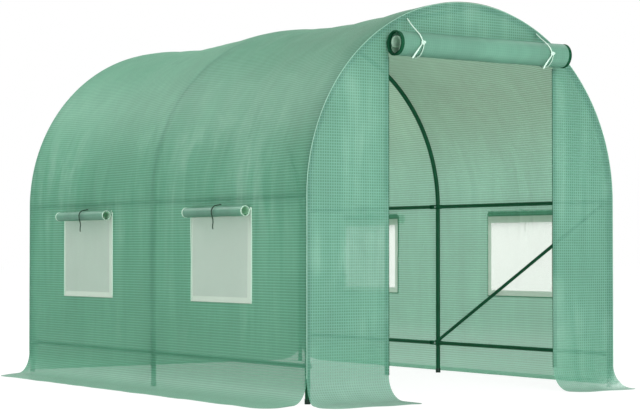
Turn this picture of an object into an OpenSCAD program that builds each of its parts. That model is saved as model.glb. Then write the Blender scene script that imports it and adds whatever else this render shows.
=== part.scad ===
// Polytunnel greenhouse: three steel hoops, five rails and a brace under a sewn sheet
// cover with four screened windows, a rolled-up door and a ground skirt.
// Millimetres. X is across the tunnel, Y runs from the door end (-Y) to the rear (+Y), and
// Z is up. The origin is on the ground at the middle of the tunnel.

/* [Tunnel] */
// Width over the cover
tunnel_w = 2000; // [1600:50:2600]
// Length over the end sheets
tunnel_l = 3000; // [2400:50:4000]
// Height where the straight sides end and the arch starts
spring_h = 1000; // [850:10:1300]

/* [Frame] */
// Outside diameter of the hoop tubes
hoop_d = 25; // [19:0.5:32]
// Outside diameter of the rail tubes
rail_d = 22; // [16:0.5:28]
// Outside diameter of the brace tubes
brace_d = 19; // [16:0.5:25]
// Wall of all tubes
tube_wall = 1; // [0.8:0.1:2]
// How far below the arch's start the legs plug into it
leg_joint = 40; // [30:1:80]
// How far a plug runs into each tube
plug_l = 30; // [20:1:60]
// Height of the bottom rails above the ground
bottom_rail_z = 180; // [150:5:300]
// Least length of the flattened tube ends, from the bolt
tab_l = 45; // [35:1:60]
// Thickness of the flattened tube ends
tab_t = 3; // [2:0.5:4]
// Diameter of the bolts
bolt_d = 6; // [4:1:8]
// Diameter of the bolts' heads and washers
bolt_head_d = 13; // [9:1:18]
// Height of the plastic foot caps
foot_h = 25; // [15:1:60]
// Wall of the foot caps
foot_wall = 2; // [1.5:0.5:4]

/* [Cover] */
// Thickness of the sheet, drawn thicker than the real one
sheet_t = 2; // [1.5:0.5:3]
// Gap between the sheet and the tubes it lies over
sheet_gap = 0.5; // [0.3:0.1:3]
// Radius of the bend where the sheet turns outwards onto the ground
flare_r = 120; // [80:5:130]
// Reach of the side skirts from the wall
side_reach = 340; // [260:10:400]
// Reach of the rear skirt and of the front skirt left of the door
end_reach = 320; // [260:10:400]
// Reach of the front skirt right of the door
short_reach = 200; // [200:10:400]
// Radius of the skirts' outer corners
skirt_corner_r = 80; // [40:5:90]

/* [Door] */
// Width of the doorway
door_w = 1080; // [800:10:1200]
// How far the doorway's middle is to the right of the tunnel's
door_shift = 30; // [0:5:40]
// Height of the doorway's top edge
door_top = 1757; // [1500:1:1760]
// Outside diameter of the rolled-up door
door_roll_d = 126; // [100:2:150]
// Wall of the rolled-up door
door_roll_wall = 11; // [8:1:16]
// How far the roll runs past each side of the doorway
door_roll_over = 15; // [0:5:40]
// Gap between the roll and the end sheet, for the ties
door_roll_gap = 7; // [7:1:12]
// Width of the zip tapes beside the doorway
zip_w = 25; // [20:1:40]

/* [Windows] */
// Width of a window
window_w = 580; // [400:10:640]
// Height of a window
window_h = 460; // [300:10:460]
// Height of a window's lower edge
window_z = 475; // [400:5:500]
// Distance of the windows from the tunnel's middle
window_y = 730; // [600:5:750]
// How far the left windows sit towards the rear, and the right ones towards the front
window_shift = 20; // [0:5:40]
// Outside diameter of a rolled-up window flap
flap_d = 56; // [40:2:70]
// Wall of a rolled-up window flap
flap_wall = 8; // [5:1:12]
// How far a flap runs past each side of its window
flap_over = 0; // [0:5:40]

/* [Ties] */
// Diameter of the door ties
door_tie_d = 6; // [5:0.5:6]
// Diameter of the window ties
window_tie_d = 6; // [4:0.5:6]

/* [Hidden] */
$fn = 64;
arch_fn = 240; // for the roof and end sheets
cord_sides = 8;
corner_steps = 6; // straight pieces in a skirt's rounded corner
roof_steps = 6; // sheets across the arch
bolt_play = 0.5; // bolt hole over bolt
bolt_head_h = 4;
bolt_depth = 10; // how far a bolt runs into its hoop tube
tab_run = 12; // how far a flattened end runs into its round tube
fit_gap = 0.2; // gap between pieces that only lie against each other
zip_t = 2;
roll_stand_off = 3; // gap between a window flap and the wall

steel = [0.08, 0.26, 0.18];
zinc = [0.7, 0.72, 0.73];
plastic = [0.05, 0.16, 0.11];
green = [0.42, 0.66, 0.56];
pale_green = [0.53, 0.73, 0.65];
screen_grey = [0.82, 0.87, 0.83];
cream = [0.88, 0.93, 0.86];
dark_green = [0.12, 0.3, 0.24];

arch_r = tunnel_w / 2; // outside of the roof sheet
inner_r = arch_r - sheet_t; // inside of the roof sheet
hoop_r = inner_r - sheet_gap - hoop_d / 2; // centre line of the hoop tubes
hoop_y = tunnel_l / 2 - sheet_t - sheet_gap - hoop_d / 2; // front and rear hoops
hoops = [-hoop_y, 0, hoop_y];
bore_d = hoop_d - 2 * tube_wall; // inside of a hoop tube
joint_h = spring_h - leg_joint; // where the legs end and the arches begin
layer = tab_t + fit_gap; // tabs stack on the hoop's inside, one layer each
rail_r = hoop_r - hoop_d / 2 - fit_gap - tab_t / 2; // middle of the first layer
brace_rise = spring_h - bottom_rail_z;
brace_tilt = atan2(brace_rise, hoop_y);
brace_depth = 2 * layer - tab_t / 2; // how far in from the rail's axis the brace's tab starts
rail_chord = sqrt(pow(rail_d / 2, 2) - pow(brace_depth, 2)); // half the rail's height there
tab_reach = max( // long enough for the round tubes to clear each other at the brace
    tab_l,
    rail_chord / tan(brace_tilt) + hoop_d / 2 / sin(brace_tilt) + fit_gap,
    (rail_d + brace_d) / 2 / sin(brace_tilt) + fit_gap
);
skirt_top = flare_r + sheet_t; // where the flat walls end
door_left = door_shift - door_w / 2;
door_right = door_shift + door_w / 2;
door_roll_y = -tunnel_l / 2 - door_roll_gap - door_roll_d / 2;
flap_x = arch_r + roll_stand_off + flap_d / 2;
flap_z = window_z + window_h;
side_spread = 170; // the left skirt's front end runs out past the corner
front_spread = 120; // and so does the left end of the front skirt
right_spread = 30; // and the right end of the front skirt
corner_cut = -300; // the other skirts' ends slant back from the corner

// Routes of the ties, a point at each bend. On the door ties each point is [across, out
// from the front sheet, above the doorway's top]. On the window ties it is [out from the
// wall, along from where the tie is sewn on, above the flap's middle].
left_front_strand = [
    [-398, 4, 136], [-408, 57, 95], [-410, 110, 54], [-409, 122, 43], [-407, 130, 30],
    [-405, 136, 17], [-405, 139, 5], [-411, 139, -9], [-422, 137, -24], [-435, 135, -41],
    [-448, 133, -59], [-462, 131, -78]
];
left_back_strand = [
    [-398, 3.5, 62], [-397, 3.5, 30], [-396, 3.5, 0], [-396, 5, -17], [-396, 15, -39],
    [-396, 36, -59], [-396, 70, -69], [-396, 104, -59], [-396, 125, -39], [-395, 135, -17],
    [-394, 137.5, 0], [-394, 136, 14]
];
right_front_strand = [
    [452, 4, 114.5], [438, 55, 86], [429, 104, 58.5], [429, 113, 52], [432, 123, 41.5],
    [436, 130.5, 30], [440, 136, 15], [443, 139, 0], [438, 139, -14], [427, 137, -29],
    [414, 135, -46], [401, 133, -64], [390, 131, -82]
];
right_back_strand = [
    [452, 3.5, 60], [452, 3.5, 30], [452, 3.5, 0], [452, 5, -17], [452, 15, -39],
    [452, 36, -59], [452, 70, -69], [452, 104, -59], [452, 125, -39], [452, 135, -17],
    [452, 137.5, -3], [452, 136, 11]
];
window_strand = [
    [3, 0, 36], [14, 0, 36], [31, 0, 33], [45, 0, 30], [56, 0, 21], [63, 0, 9],
    [64, 0, -6], [60, 1, -22], [55, 3, -36], [51, 6, -50], [51, 8, -64], [53, 7, -78],
    [52, 4, -91]
];

// ---- Frame -------------------------------------------------------------------------

// A tube from z = 0 up.
module tube(length, d) {
    difference() {
        cylinder(h = length, d = d);
        translate([0, 0, -1]) cylinder(h = length + 2, d = d - 2 * tube_wall);
    }
}

// A bent tube around the tunnel's axis, from one angle to another, in the plane y = 0.
module bent_tube(from, to, d) {
    translate([0, 0, spring_h])
        rotate([90, -from, 0])
            rotate_extrude(angle = to - from)
                translate([hoop_r, 0])
                    difference() {
                        circle(d = d);
                        circle(d = d - 2 * tube_wall);
                    }
}

// Half of an arch, from its straight foot up to the ridge.
module half_arch() {
    half_gap = asin(fit_gap / 2 / hoop_r); // the halves meet at the ridge
    translate([hoop_r, 0, joint_h]) tube(leg_joint, hoop_d);
    bent_tube(0, 90 - half_gap, hoop_d);
}

module arch(y) {
    color(steel)
        difference() {
            translate([0, y, 0]) {
                half_arch();
                mirror([1, 0, 0]) half_arch();
            }
            bolt_holes();
        }
}

// A leg on its foot cap, with the plug that its arch sits on.
module leg(side, y) {
    color(steel)
        difference() {
            translate([side * hoop_r, y, foot_wall]) {
                tube(joint_h - foot_wall - fit_gap, hoop_d);
                translate([0, 0, joint_h - foot_wall - plug_l])
                    tube(2 * plug_l, bore_d - fit_gap);
                translate([0, 0, joint_h - foot_wall - plug_l])
                    difference() {
                        cylinder(h = plug_l - fit_gap, d = bore_d + tube_wall);
                        translate([0, 0, -1])
                            cylinder(h = plug_l + 1, d = bore_d - tube_wall);
                    }
            }
            bolt_holes();
        }
}

// The plugs that join the two halves of each arch.
module ridge_plugs() {
    half = asin(plug_l / hoop_r);
    color(steel)
        difference() {
            for (y = hoops)
                translate([0, y, 0]) bent_tube(90 - half, 90 + half, bore_d - fit_gap);
            bolt_holes();
        }
}

module foot_cap() {
    difference() {
        cylinder(h = foot_h, d = hoop_d + 2 * foot_wall);
        translate([0, 0, foot_wall - fit_gap])
            cylinder(h = foot_h, d = hoop_d + fit_gap);
    }
}

module foot_caps() {
    color(plastic)
        for (side = [-1, 1], y = hoops)
            translate([side * hoop_r, y, 0]) foot_cap();
}

// A tube along +Y with a flattened, drilled tab at each end. The bolts are at y = 0 and
// y = length, and the tabs, as wide as a hoop tube, face along X.
module tabbed_tube(length, d) {
    difference() {
        union() {
            translate([0, tab_reach, 0]) rotate([-90, 0, 0]) tube(length - 2 * tab_reach, d);
            tab();
            translate([0, length, 0]) mirror([0, 1, 0]) tab();
        }
        for (y = [0, length])
            translate([-tab_t, y, 0])
                rotate([0, 90, 0]) cylinder(h = 2 * tab_t, d = bolt_d + bolt_play);
    }
}

// A flattened end around the bolt at the origin.
module tab() {
    translate([-tab_t / 2, 0, 0])
        rotate([0, 90, 0]) cylinder(h = tab_t, d = hoop_d);
    translate([-tab_t / 2, 0, -hoop_d / 2]) cube([tab_t, tab_reach + tab_run, hoop_d]);
}

// The three places where rails run, each given as the inside of the hoops along +X.
module right_side(z) {
    translate([0, 0, z]) children();
}

module left_side(z) {
    translate([0, 0, z]) mirror([1, 0, 0]) children();
}

module ridge() {
    translate([0, 0, spring_h]) rotate([0, -90, 0]) children();
}

// The two rails of a run, whose tabs lie on each other at the middle hoop.
module rail_run() {
    color(steel) {
        translate([rail_r, -hoop_y, 0]) tabbed_tube(hoop_y, rail_d);
        translate([rail_r - layer, 0, 0]) tabbed_tube(hoop_y, rail_d);
    }
}

// The brace from the middle leg's bottom rail joint up to the front leg's shoulder joint,
// on the inside of the rails' tabs.
module brace() {
    color(steel)
        translate([rail_r - 2 * layer, 0, 0])
            rotate([180 - brace_tilt, 0, 0])
                tabbed_tube(norm([brace_rise, hoop_y]), brace_d);
}

// Bolt and washers of a joint at the origin, through so many layers of tabs.
module bolt(layers) {
    head = rail_r + tab_t / 2 - layers * layer;
    translate([head - bolt_head_h, 0, 0]) rotate([0, 90, 0]) {
        cylinder(h = bolt_head_h, d = bolt_head_d);
        cylinder(h = bolt_head_h + layers * layer + bolt_depth, d = bolt_d);
    }
}

// A washer that takes the place of a tab, counted from the hoop.
module washer(index) {
    translate([rail_r - tab_t / 2 - index * layer, 0, 0])
        rotate([0, 90, 0])
            difference() {
                cylinder(h = tab_t, d = bolt_head_d);
                translate([0, 0, -1]) cylinder(h = tab_t + 2, d = bolt_d + bolt_play);
            }
}

// The bolts of one run: front, middle and rear.
module bolt_run(front_layers, middle_layers) {
    translate([0, -hoop_y, 0]) bolt(front_layers);
    bolt(middle_layers);
    translate([0, hoop_y, 0]) {
        bolt(2);
        washer(0);
    }
}

module bolts() {
    color(zinc) {
        right_side(bottom_rail_z) bolt_run(1, 3);
        right_side(spring_h) bolt_run(3, 2);
        right_side(spring_h) translate([0, -hoop_y, 0]) washer(1);
        left_side(bottom_rail_z) bolt_run(1, 2);
        left_side(spring_h) bolt_run(1, 2);
        ridge() bolt_run(1, 2);
    }
}

// The holes for the bolts through the inside of the hoops.
module bolt_hole_run() {
    for (y = hoops)
        translate([hoop_r - hoop_d, y, 0])
            rotate([0, 90, 0]) cylinder(h = hoop_d, d = bolt_d + bolt_play);
}

module bolt_holes() {
    for (z = [bottom_rail_z, spring_h]) {
        right_side(z) bolt_hole_run();
        left_side(z) bolt_hole_run();
    }
    ridge() bolt_hole_run();
}

// ---- Cover -------------------------------------------------------------------------

// Where a window's middle is along the tunnel.
function window_middle(side, end) = end * window_y - side * window_shift;

module window_holes(side, depth) {
    for (end = [-1, 1])
        translate([-depth / 2, window_middle(side, end) - window_w / 2, window_z])
            cube([depth, window_w, window_h]);
}

module wall_sheet(side) {
    color(green)
        difference() {
            translate([side > 0 ? inner_r : -arch_r, -tunnel_l / 2, skirt_top])
                cube([sheet_t, tunnel_l, spring_h - skirt_top]);
            translate([side * arch_r, 0, 0]) window_holes(side, 6 * sheet_t);
        }
}

// One strip of the roof, counted from the right-hand wall.
module roof_sheet(index) {
    step = 180 / roof_steps;
    color(green)
        translate([0, 0, spring_h])
            rotate([90, -index * step, 0])
                rotate_extrude(angle = step, $fn = arch_fn)
                    translate([inner_r, -tunnel_l / 2])
                        square([sheet_t, tunnel_l]);
}

// The outline of an end sheet inside the roof sheet, as a plate from y = 0 to sheet_t.
module end_plate() {
    translate([0, sheet_t, 0])
        rotate([90, 0, 0]) {
            intersection() {
                translate([0, spring_h, 0]) cylinder(h = sheet_t, r = inner_r, $fn = arch_fn);
                translate([-inner_r, spring_h, 0]) cube([2 * inner_r, inner_r, sheet_t]);
            }
            translate([-inner_r, skirt_top, 0])
                cube([2 * inner_r, spring_h - skirt_top, sheet_t]);
        }
}

// The part of the front sheet between x0 and x1, above z0.
module front_panel(x0, x1, z0) {
    color(green)
        intersection() {
            translate([0, -tunnel_l / 2, 0]) end_plate();
            translate([x0, -tunnel_l / 2 - 1, z0])
                cube([x1 - x0, sheet_t + 2, spring_h + arch_r - z0]);
        }
}

module rear_panel() {
    color(green) translate([0, tunnel_l / 2 - sheet_t, 0]) end_plate();
}

// The points of a rounded corner at b, between a and c.
function corner_arc(a, b, c, r) =
    let (
        u = (a - b) / norm(a - b),
        v = (c - b) / norm(c - b),
        half = acos(u * v) / 2,
        centre = b + (u + v) / norm(u + v) * r / sin(half),
        p = b + u * r / tan(half),
        q = b + v * r / tan(half)
    )
    [for (i = [0:corner_steps])
        let (
            t = i / corner_steps,
            chord = p * (1 - t) + q * t - centre
        )
        centre + chord / norm(chord) * r];

// A skirt along +Y with its wall at x = 0 and the ground outwards along +X. Each spread
// is how far its end runs out past the wall's end at the outer edge.
module skirt(length, reach, spread_start, spread_end) {
    inner_start = [-sheet_t, 0];
    outer_start = [reach, -spread_start];
    outer_end = [reach, length + spread_end];
    inner_end = [-sheet_t, length];
    longest = max(spread_start, spread_end, 0) + 1;
    color(pale_green)
        intersection() {
            translate([0, -longest, 0])
                rotate([90, 0, 180])
                    mirror([1, 0, 0])
                        linear_extrude(height = length + 2 * longest)
                            skirt_profile(reach);
            linear_extrude(height = skirt_top + 1)
                polygon(concat(
                    [inner_end, inner_start],
                    corner_arc(inner_start, outer_start, outer_end, skirt_corner_r),
                    corner_arc(outer_start, outer_end, inner_end, skirt_corner_r)
                ));
        }
}

// Section through a skirt: down off the wall, round the bend and out along the ground.
module skirt_profile(reach) {
    translate([flare_r, skirt_top])
        intersection() {
            difference() {
                circle(r = flare_r + sheet_t);
                circle(r = flare_r);
            }
            translate([-2 * flare_r, -2 * flare_r]) square(2 * flare_r);
        }
    translate([flare_r, 0]) square([reach - flare_r, sheet_t]);
}

module left_skirt() {
    mirror([1, 0, 0])
        translate([arch_r, -tunnel_l / 2, 0])
            skirt(tunnel_l, side_reach, side_spread, corner_cut);
}

module right_skirt() {
    translate([arch_r, -tunnel_l / 2, 0])
        skirt(tunnel_l, side_reach, corner_cut, corner_cut);
}

module front_skirt(x0, x1, reach, spread_start, spread_end) {
    translate([x0, -tunnel_l / 2, 0])
        rotate([0, 0, -90])
            skirt(x1 - x0, reach, spread_start, spread_end);
}

module rear_skirt() {
    translate([inner_r, tunnel_l / 2, 0])
        rotate([0, 0, 90])
            skirt(2 * inner_r, end_reach, corner_cut, corner_cut);
}

// ---- Windows and door --------------------------------------------------------------

module window_screens(side) {
    color(screen_grey)
        for (end = [-1, 1])
            translate([
                side > 0 ? inner_r : -arch_r,
                window_middle(side, end) - window_w / 2 + fit_gap,
                window_z + fit_gap
            ])
                cube([sheet_t, window_w - 2 * fit_gap, window_h - 2 * fit_gap]);
}

module roll(length, d, wall) {
    difference() {
        cylinder(h = length, d = d);
        translate([0, 0, -1]) cylinder(h = length + 2, d = d - 2 * wall);
    }
}

module window_flaps(side) {
    color(green)
        for (end = [-1, 1])
            translate([
                side * flap_x,
                window_middle(side, end) - window_w / 2 - flap_over,
                flap_z
            ])
                rotate([-90, 0, 0])
                    roll(window_w + 2 * flap_over, flap_d, flap_wall);
}

module door_roll() {
    color(green)
        translate([door_left - door_roll_over, door_roll_y, door_top])
            rotate([0, 90, 0])
                roll(door_w + 2 * door_roll_over, door_roll_d, door_roll_wall);
}

module door_zips() {
    color(dark_green)
        for (side = [-1, 1])
            translate([
                side > 0 ? door_right : door_left - zip_w,
                -tunnel_l / 2 - zip_t - fit_gap,
                skirt_top
            ])
                cube([zip_w, zip_t, door_top - door_roll_d / 2 - skirt_top]);
}

// ---- Ties --------------------------------------------------------------------------

// The points with more between them, so that no span is longer than step.
function spaced(points, step) = [
    for (i = [0:len(points) - 2])
        let (
            span = points[i + 1] - points[i],
            count = ceil(norm(span) / step)
        )
        for (k = [0:count - 1])
            points[i] + span * k / count,
    points[len(points) - 1]
];

// A round cord of diameter d along the route. No part of it may run along the side
// vector.
module cord(route, d, side) {
    points = spaced(route, 3 * d);
    last = len(points) - 1;
    function along(i) = points[min(i + 1, last)] - points[max(i - 1, 0)];
    rings = [
        for (i = [0:last])
            let (
                t = along(i) / norm(along(i)),
                u = cross(t, side) / norm(cross(t, side)),
                v = cross(t, u)
            )
            for (k = [0:cord_sides - 1])
                let (a = 360 * k / cord_sides)
                    points[i] + d / 2 * (cos(a) * u + sin(a) * v)
    ];
    walls = [
        for (i = [0:last - 1], k = [0:cord_sides - 1])
            let (
                here = i * cord_sides,
                next = here + cord_sides,
                right = (k + 1) % cord_sides
            )
            for (face = [
                [here + k, next + k, next + right],
                [here + k, next + right, here + right]
            ])
                face
    ];
    start = [for (k = [0:cord_sides - 1]) k];
    finish = [for (k = [cord_sides - 1:-1:0]) last * cord_sides + k];
    polyhedron(points = rings, faces = concat([start], walls, [finish]));
}

module door_tie(route) {
    color(cream)
        cord(
            [for (p = route) [p[0], -tunnel_l / 2 - p[1], door_top + p[2]]],
            door_tie_d,
            [1, 0, 0]
        );
}

module window_tie(side, end) {
    color(dark_green)
        cord(
            [for (p = window_strand)
                [side * (arch_r + p[0]), end * window_y + p[1], flap_z + p[2]]],
            window_tie_d,
            [0, 1, 0]
        );
}

// ---- Nodes -------------------------------------------------------------------------

arch(hoops[0]);  // front_arch
arch(hoops[1]);  // middle_arch
arch(hoops[2]);  // rear_arch
leg(-1, hoops[0]);  // front_left_leg
leg(1, hoops[0]);  // front_right_leg
leg(-1, hoops[1]);  // middle_left_leg
leg(1, hoops[1]);  // middle_right_leg
leg(-1, hoops[2]);  // rear_left_leg
leg(1, hoops[2]);  // rear_right_leg
left_side(bottom_rail_z) rail_run();  // left_bottom_rail
right_side(bottom_rail_z) rail_run();  // right_bottom_rail
left_side(spring_h) rail_run();  // left_shoulder_rail
right_side(spring_h) rail_run();  // right_shoulder_rail
ridge() rail_run();  // ridge_rail
right_side(bottom_rail_z) brace();  // right_brace
ridge_plugs();
bolts();
foot_caps();
wall_sheet(-1);  // left_wall_sheet
wall_sheet(1);  // right_wall_sheet
roof_sheet(0);  // roof_right_low
roof_sheet(1);  // roof_right_mid
roof_sheet(2);  // roof_right_top
roof_sheet(3);  // roof_left_top
roof_sheet(4);  // roof_left_mid
roof_sheet(5);  // roof_left_low
front_panel(-arch_r, door_left, 0);  // front_left_panel
front_panel(door_right, arch_r, 0);  // front_right_panel
front_panel(door_left, door_right, door_top);  // front_transom
rear_panel();
left_skirt();
right_skirt();
front_skirt(-inner_r, door_left, end_reach, front_spread, 0);  // front_left_skirt
front_skirt(door_right, inner_r, short_reach, 0, right_spread);  // front_right_skirt
rear_skirt();
window_screens(-1);  // left_window_screens
window_screens(1);  // right_window_screens
window_flaps(-1);  // left_window_flaps
window_flaps(1);  // right_window_flaps
door_roll();
door_zips();
door_tie(left_front_strand);  // door_tie_left_front
door_tie(left_back_strand);  // door_tie_left_back
door_tie(right_front_strand);  // door_tie_right_front
door_tie(right_back_strand);  // door_tie_right_back
window_tie(-1, -1);  // window_tie_left_front
window_tie(-1, 1);  // window_tie_left_rear
window_tie(1, -1);  // window_tie_right_front
window_tie(1, 1);  // window_tie_right_rear
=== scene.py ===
# %% [markdown]
# # Dressing a walk-in polytunnel greenhouse
#
# The real one is a kit: three steel hoops joined by rails, and a sewn cover of woven
# polyethylene that is pulled over them. Two ends are sewn into the cover, the front one
# has a door that rolls up, and each long side has two screened windows.
#
# The frame comes in ready made, in metres, and is never moved. This lesson makes what a
# plain solid can't show: thin cloth that sags between the hoops, lets light through and
# carries a grid of reinforcing threads, and the rolls, zips, screens and ties on it.

# %% Load the frame
import math

import bpy
import numpy as np
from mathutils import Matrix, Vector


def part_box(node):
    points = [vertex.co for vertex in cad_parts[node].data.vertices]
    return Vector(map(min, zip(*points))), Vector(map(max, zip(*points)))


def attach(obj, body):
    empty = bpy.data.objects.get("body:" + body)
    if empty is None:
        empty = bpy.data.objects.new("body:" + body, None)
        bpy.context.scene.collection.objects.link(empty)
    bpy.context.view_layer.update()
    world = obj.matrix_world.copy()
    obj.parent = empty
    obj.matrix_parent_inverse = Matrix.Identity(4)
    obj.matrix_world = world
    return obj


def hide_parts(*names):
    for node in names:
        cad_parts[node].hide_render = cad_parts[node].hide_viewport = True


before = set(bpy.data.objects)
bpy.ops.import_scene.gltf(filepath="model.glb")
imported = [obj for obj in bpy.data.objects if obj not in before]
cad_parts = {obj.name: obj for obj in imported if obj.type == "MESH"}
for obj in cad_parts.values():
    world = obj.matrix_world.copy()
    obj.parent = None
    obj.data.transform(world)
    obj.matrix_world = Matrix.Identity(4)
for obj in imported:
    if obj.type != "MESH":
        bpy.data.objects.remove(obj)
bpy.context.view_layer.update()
print("nodes in the frame:", len(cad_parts))

# %% [markdown]
# ## Sizes
# Every place is worked out from the boxes of the frame's own nodes, so the cloth keeps
# fitting when the frame is built in another size.

# %% Read the sizes
wall_low, wall_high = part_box("left_wall_sheet")
half_width = -wall_low.x
half_length = wall_high.y
shoulder = wall_high.z  # the straight wall ends and the arch starts
foot = wall_low.z  # the wall starts to turn out onto the ground
flare_r = foot - (wall_high.x - wall_low.x)
hoop_low, hoop_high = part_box("front_arch")
hoop_y = -(hoop_low.y + hoop_high.y) / 2
door_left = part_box("front_left_panel")[1].x
door_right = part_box("front_right_panel")[0].x
door_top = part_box("front_transom")[0].z
ridge_rail_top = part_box("ridge_rail")[1].z
arch_length = math.pi / 2 * half_width  # round the roof, from ridge to shoulder
wall_drop = shoulder - foot
bend_length = math.pi / 2 * flare_r
print("cover %.2f wide, %.2f long, %.2f high"
      % (2 * half_width, 2 * half_length, shoulder + half_width))

# %% [markdown]
# ## Camera, light and floor
# A long lens from the front left corner, a little below the shoulder, keeps the uprights
# almost parallel. The light is a pale studio: a bright dome and four large soft lamps, in
# front, over the left, behind and on the right, which shine through the cloth from all
# sides. The floor is white where the camera sees it and keeps a soft shadow, because a
# part of it is lit by the lamps.

# %% Camera
camera = bpy.data.objects.new("camera", bpy.data.cameras.new("camera"))
bpy.context.scene.collection.objects.link(camera)
camera.location = (-6.0455, -8.891, 0.7333)
camera.rotation_euler = (math.radians(91.3508), 0, math.radians(-34.7256))
camera.data.sensor_width = 36
camera.data.lens = 105.12
camera.data.clip_end = 200
bpy.context.scene.camera = camera
bpy.context.scene.view_settings.view_transform = "Standard"


# %% Node helpers
def new_finish(name):
    """A material with an empty node tree."""
    material = bpy.data.materials.new(name)
    material.use_nodes = True
    material.node_tree.nodes.clear()
    return material, material.node_tree


def node(tree, kind, inputs=None, **settings):
    """Adds a node. Settings are its own properties, inputs are values or sockets."""
    made = tree.nodes.new(kind)
    for key, value in settings.items():
        setattr(made, key, value)
    for key, value in (inputs or {}).items():
        if isinstance(value, bpy.types.NodeSocket):
            tree.links.new(value, made.inputs[key])
        else:
            made.inputs[key].default_value = value
    return made


def sum_of(tree, operation, a, b=0.0):
    """The result of one sum of two values or sockets."""
    return node(tree, "ShaderNodeMath", {0: a, 1: b}, operation=operation).outputs[0]


def product(tree, first, *others):
    """The first factor times all others."""
    for other in others:
        first = sum_of(tree, "MULTIPLY", first, other)
    return first


def ramp(tree, value, low=0.0, high=1.0, at_low=0.0, at_high=1.0, kind="LINEAR"):
    """at_low up to the value low, at_high from the value high, and a ramp between."""
    return node(tree, "ShaderNodeMapRange",
                {0: value, 1: low, 2: high, 3: at_low, 4: at_high},
                interpolation_type=kind).outputs[0]


def fade(tree, value, low, high):
    """1 up to the value low, 0 from the value high, and a smooth step between."""
    return ramp(tree, value, low, high, 1.0, 0.0, "SMOOTHSTEP")


# %% Colour and shader helpers
def opaque(colour):
    """Three numbers as the four that a colour socket takes. A socket stays as it is."""
    return colour if isinstance(colour, bpy.types.NodeSocket) else (*colour, 1)


def mixed_colour(tree, share, a, b):
    """Colour a where the share is 0, b where it's 1."""
    return node(tree, "ShaderNodeMix", {0: share, 6: opaque(a), 7: opaque(b)},
                data_type="RGBA").outputs[2]


def scaled_colour(tree, colour, factor):
    """A colour times a value or another colour."""
    return node(tree, "ShaderNodeVectorMath", {0: colour, 1: factor},
                operation="MULTIPLY").outputs[0]


def noise(tree, place_on, scale, detail, **more):
    """Soft noise, about 0.5. More inputs go by their names on the node."""
    return node(tree, "ShaderNodeTexNoise",
                {"Vector": place_on, "Scale": scale, "Detail": detail, **more}).outputs[0]


def bumped(tree, height, strength, distance):
    """Normals tilted by a height."""
    return node(tree, "ShaderNodeBump", {"Strength": strength, "Distance": distance,
                                         "Height": height}).outputs[0]


def face_shader(tree, colour, roughness, **more):
    """The shader of a face that light doesn't pass."""
    return node(tree, "ShaderNodeBsdfPrincipled",
                {"Base Color": opaque(colour), "Roughness": roughness, **more}).outputs[0]


def mixed_shader(tree, share, a, b):
    """Shader a where the share is 0, b where it's 1."""
    return node(tree, "ShaderNodeMixShader", {0: share, 1: a, 2: b}).outputs[0]


def output(tree, surface):
    """Ends the tree in its surface."""
    node(tree, "ShaderNodeOutputMaterial", {"Surface": surface})


def cloth_map(tree):
    """The piece's own UV map: the two distances on the cloth, in metres."""
    return node(tree, "ShaderNodeUVMap", uv_map="cloth").outputs[0]


def object_place(tree):
    """Places in the piece's own space, in metres."""
    return node(tree, "ShaderNodeTexCoord").outputs["Object"]


def parts_of(tree, vector):
    """The three parts of a vector."""
    return node(tree, "ShaderNodeSeparateXYZ", {0: vector}).outputs


# %% World and lamps
camera_white = 1.0  # the background, as the camera sees it
dome_strength = 0.62  # the light that the dome gives

world = bpy.data.worlds.new("studio")
bpy.context.scene.world = world
world.use_nodes = True
world.node_tree.nodes.clear()
sky = world.node_tree
path = node(sky, "ShaderNodeLightPath")
seen = sum_of(sky, "MAXIMUM", path.outputs["Is Camera Ray"], path.outputs["Is Glossy Ray"])
seen = sum_of(sky, "MAXIMUM", seen, path.outputs["Is Transmission Ray"])
strength = ramp(sky, seen, at_low=dome_strength, at_high=camera_white)
dome = node(sky, "ShaderNodeBackground", {"Color": (1, 1, 1, 1), "Strength": strength})
node(sky, "ShaderNodeOutputWorld", {"Surface": dome.outputs[0]})


def lamp(name, place, aim, size, power):
    """A square soft lamp at place, turned towards aim."""
    data = bpy.data.lights.new(name, "AREA")
    data.shape = "SQUARE"
    data.size = size
    data.energy = power
    made = bpy.data.objects.new(name, data)
    bpy.context.scene.collection.objects.link(made)
    made.location = place
    direction = np.array(aim, float) - np.array(place, float)
    flat = math.hypot(direction[0], direction[1])
    made.rotation_euler = (math.atan2(flat, -direction[2]), 0,
                           math.atan2(direction[1], direction[0]) - math.pi / 2)


lamp("front_lamp", (-1.2, -8.0, 2.7), (0, -0.5, 1.0), 4.5, 375)
lamp("left_lamp", (-5.5, 2.0, 8.0), (0, 0, 0.8), 5.0, 130)
lamp("rear_lamp", (-3.0, 6.5, 6.5), (0, 0, 1.2), 4.0, 300)
lamp("right_lamp", (7.5, 1.0, 5.0), (0, 0, 1.0), 4.0, 400)
print("lamps:", len(bpy.data.lights))

# %% Floor
floor_half = 60.0
floor_white = 0.86
floor_glow = 1.12  # enough for the lit share below to end up white
glow_share = 0.8

floor_mesh = bpy.data.meshes.new("floor")
floor_mesh.from_pydata([(-floor_half, -floor_half, 0), (floor_half, -floor_half, 0),
                        (floor_half, floor_half, 0), (-floor_half, floor_half, 0)],
                       [], [(0, 1, 2, 3)])
floor = bpy.data.objects.new("floor", floor_mesh)
bpy.context.scene.collection.objects.link(floor)

paper, tree = new_finish("white_paper")
seen = node(tree, "ShaderNodeLightPath").outputs["Is Camera Ray"]
lit = node(tree, "ShaderNodeBsdfDiffuse", {"Color": opaque([floor_white] * 3)})
plain = node(tree, "ShaderNodeEmission", {"Color": (1, 1, 1, 1), "Strength": floor_glow})
output(tree, mixed_shader(tree, ramp(tree, seen, at_high=glow_share), lit.outputs[0],
                          plain.outputs[0]))
floor.data.materials.append(paper)

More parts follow.
